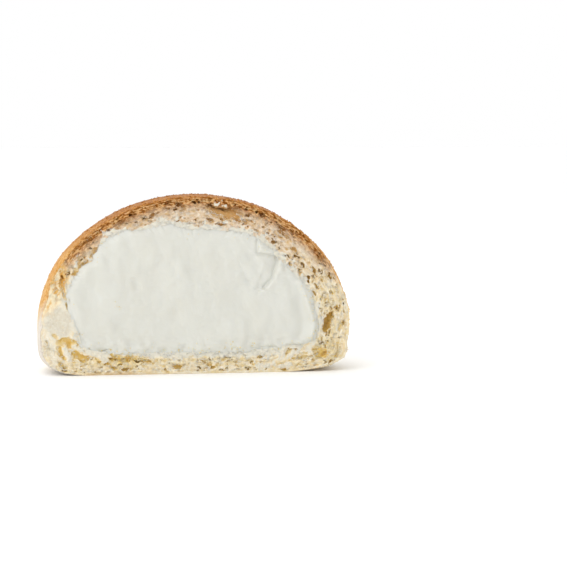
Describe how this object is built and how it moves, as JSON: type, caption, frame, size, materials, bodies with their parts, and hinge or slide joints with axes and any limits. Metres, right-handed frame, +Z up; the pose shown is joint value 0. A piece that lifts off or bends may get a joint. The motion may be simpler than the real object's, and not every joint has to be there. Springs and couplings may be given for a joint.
{
  "type": "cream bun half",
  "caption": "Domed soft bun cut upright just in front of its middle, its flat cut face showing open crumb under a browned crust round a large filling of whipped cream.",
  "frame": {"origin": "on the flat base, at the upright axis of the whole bun, a little behind the cut face", "axes": "+Z up from the flat base, +X to the right along the cut face, -Y out of the cut face"},
  "size_m": [0.0951, 0.0563, 0.054],
  "materials": {
    "baked_bread": "satin",
    "whipped_cream": "satin"
  },
  "bodies": {
    "root": {"bun_bread": "baked_bread", "cream_filling": "whipped_cream"}
  },
  "joints": []
}
